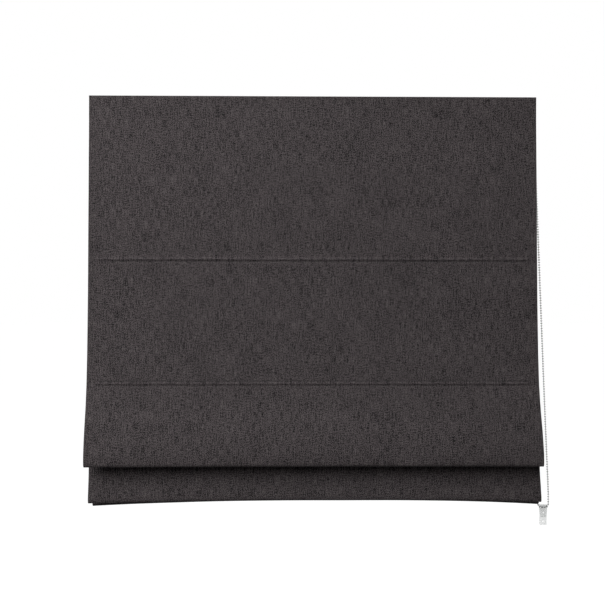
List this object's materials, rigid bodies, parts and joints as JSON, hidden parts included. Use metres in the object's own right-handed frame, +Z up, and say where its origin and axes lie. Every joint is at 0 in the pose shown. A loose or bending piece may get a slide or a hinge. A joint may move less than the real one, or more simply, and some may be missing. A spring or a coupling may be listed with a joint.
{
  "type": "roman blind",
  "caption": "Roman blind drawn up into soft folds, with a headrail, wall brackets, battens, lift cords and a bead chain drive with a wall clip.",
  "frame": {"origin": "centre of the four bracket fixing holes, in the plane of the wall", "axes": "+Z up, +X along the headrail towards the chain side, +Y into the wall, so the cloth faces -Y"},
  "size_m": [1.0834, 0.1046, 1.009],
  "materials": {
    "cloth": "matt linen weave",
    "pocket_tape": "matt woven tape",
    "rail": "white powder coat",
    "tape": "hook and loop",
    "housing": "fine grain",
    "steel": "zinc plated",
    "wheel": "moulded",
    "bead": "glossy beads on a cord",
    "shaft": "mill",
    "cord": "braided",
    "fibreglass": "pultruded",
    "cap": "moulded",
    "ring": "moulded",
    "bar": "mill",
    "clear": "clear moulded plastic"
  },
  "bodies": {
    "frame": {"headrail": "rail", "loop_tape": "tape", "hook_tape": "tape", "end_cap": "housing", "control_housing": "housing", "chain_guard": "housing", "guard_screws": "steel", "brake_spring": "steel", "spool_cradle_left": "wheel", "spool_cradle_middle": "wheel", "spool_cradle_right": "wheel", "lift_cord_left": "cord", "lift_cord_middle": "cord", "lift_cord_right": "cord", "bracket_left": "steel", "bracket_right": "steel", "cloth_top_panel": "cloth", "bead_chain": "bead", "beads_on_wheel": "bead", "chain_connector": "bead", "tensioner_base": "clear", "tensioner_cover": "clear"},
    "drive": {"chain_wheel": "wheel", "drive_shaft": "shaft", "cord_spool_left": "wheel", "cord_spool_middle": "wheel", "cord_spool_right": "wheel", "cord_winding_left": "cord", "cord_winding_middle": "cord", "cord_winding_right": "cord"},
    "lock_left": {"bracket_lever_left": "wheel", "bracket_cam_left": "wheel"},
    "lock_right": {"bracket_lever_right": "wheel", "bracket_cam_right": "wheel"},
    "batten_1": {"batten_1": "fibreglass", "batten_pocket_1": "pocket_tape", "batten_caps_1": "cap", "ring_guides_1": "ring", "cloth_second_panel": "cloth"},
    "batten_2": {"batten_2": "fibreglass", "batten_pocket_2": "pocket_tape", "batten_caps_2": "cap", "ring_guides_2": "ring", "cloth_front_fold": "cloth"},
    "batten_3": {"batten_3": "fibreglass", "batten_pocket_3": "pocket_tape", "batten_caps_3": "cap", "ring_guides_3": "ring", "cloth_second_fold": "cloth"},
    "batten_4": {"batten_4": "fibreglass", "batten_pocket_4": "pocket_tape", "batten_caps_4": "cap", "ring_guides_4": "ring", "cord_stoppers": "ring", "cloth_skirt": "cloth", "bottom_bar": "bar", "bottom_bar_caps": "cap"}
  },
  "joints": [
    {"name": "lift_1", "type": "slide", "parent": "frame", "child": "batten_1", "axis": [0, 0, 1], "range_m": [0, 0.325], "deforming": ["cloth_top_panel"]},
    {"name": "lift_2", "type": "slide", "parent": "batten_1", "child": "batten_2", "axis": [0, 0, 1], "range_m": [0, 0.262], "deforming": ["cloth_second_panel"]},
    {"name": "fold_front", "type": "slide", "parent": "batten_2", "child": "batten_3", "axis": [0, 0, 1], "range_m": [-0.18039, 0.04314], "deforming": ["cloth_front_fold", "lift_cord_left", "lift_cord_middle", "lift_cord_right"]},
    {"name": "fold_second", "type": "slide", "parent": "batten_3", "child": "batten_4", "axis": [0, 0, 1], "range_m": [-0.203, 0.0486], "deforming": ["cloth_second_fold"]},
    {"name": "drive_turn", "type": "hinge", "parent": "frame", "child": "drive", "pos_m": [0, -0.024, 0], "axis": [-1, 0, 0], "range_deg": [-2761, 661], "deforming": ["bead_chain", "beads_on_wheel"]},
    {"name": "lock_left", "type": "hinge", "parent": "frame", "child": "lock_left", "pos_m": [-0.4, -0.02, 0.016], "axis": [0, 0, -1], "range_deg": [0, 90]},
    {"name": "lock_right", "type": "hinge", "parent": "frame", "child": "lock_right", "pos_m": [0.4, -0.02, 0.016], "axis": [0, 0, -1], "range_deg": [0, 90]}
  ],
  "couplings": [
    {"joint": "fold_second", "follows": "fold_front", "ratio": 1.125},
    {"joint": "drive_turn", "follows": "fold_front", "rad_per_m": 267.04}
  ]
}
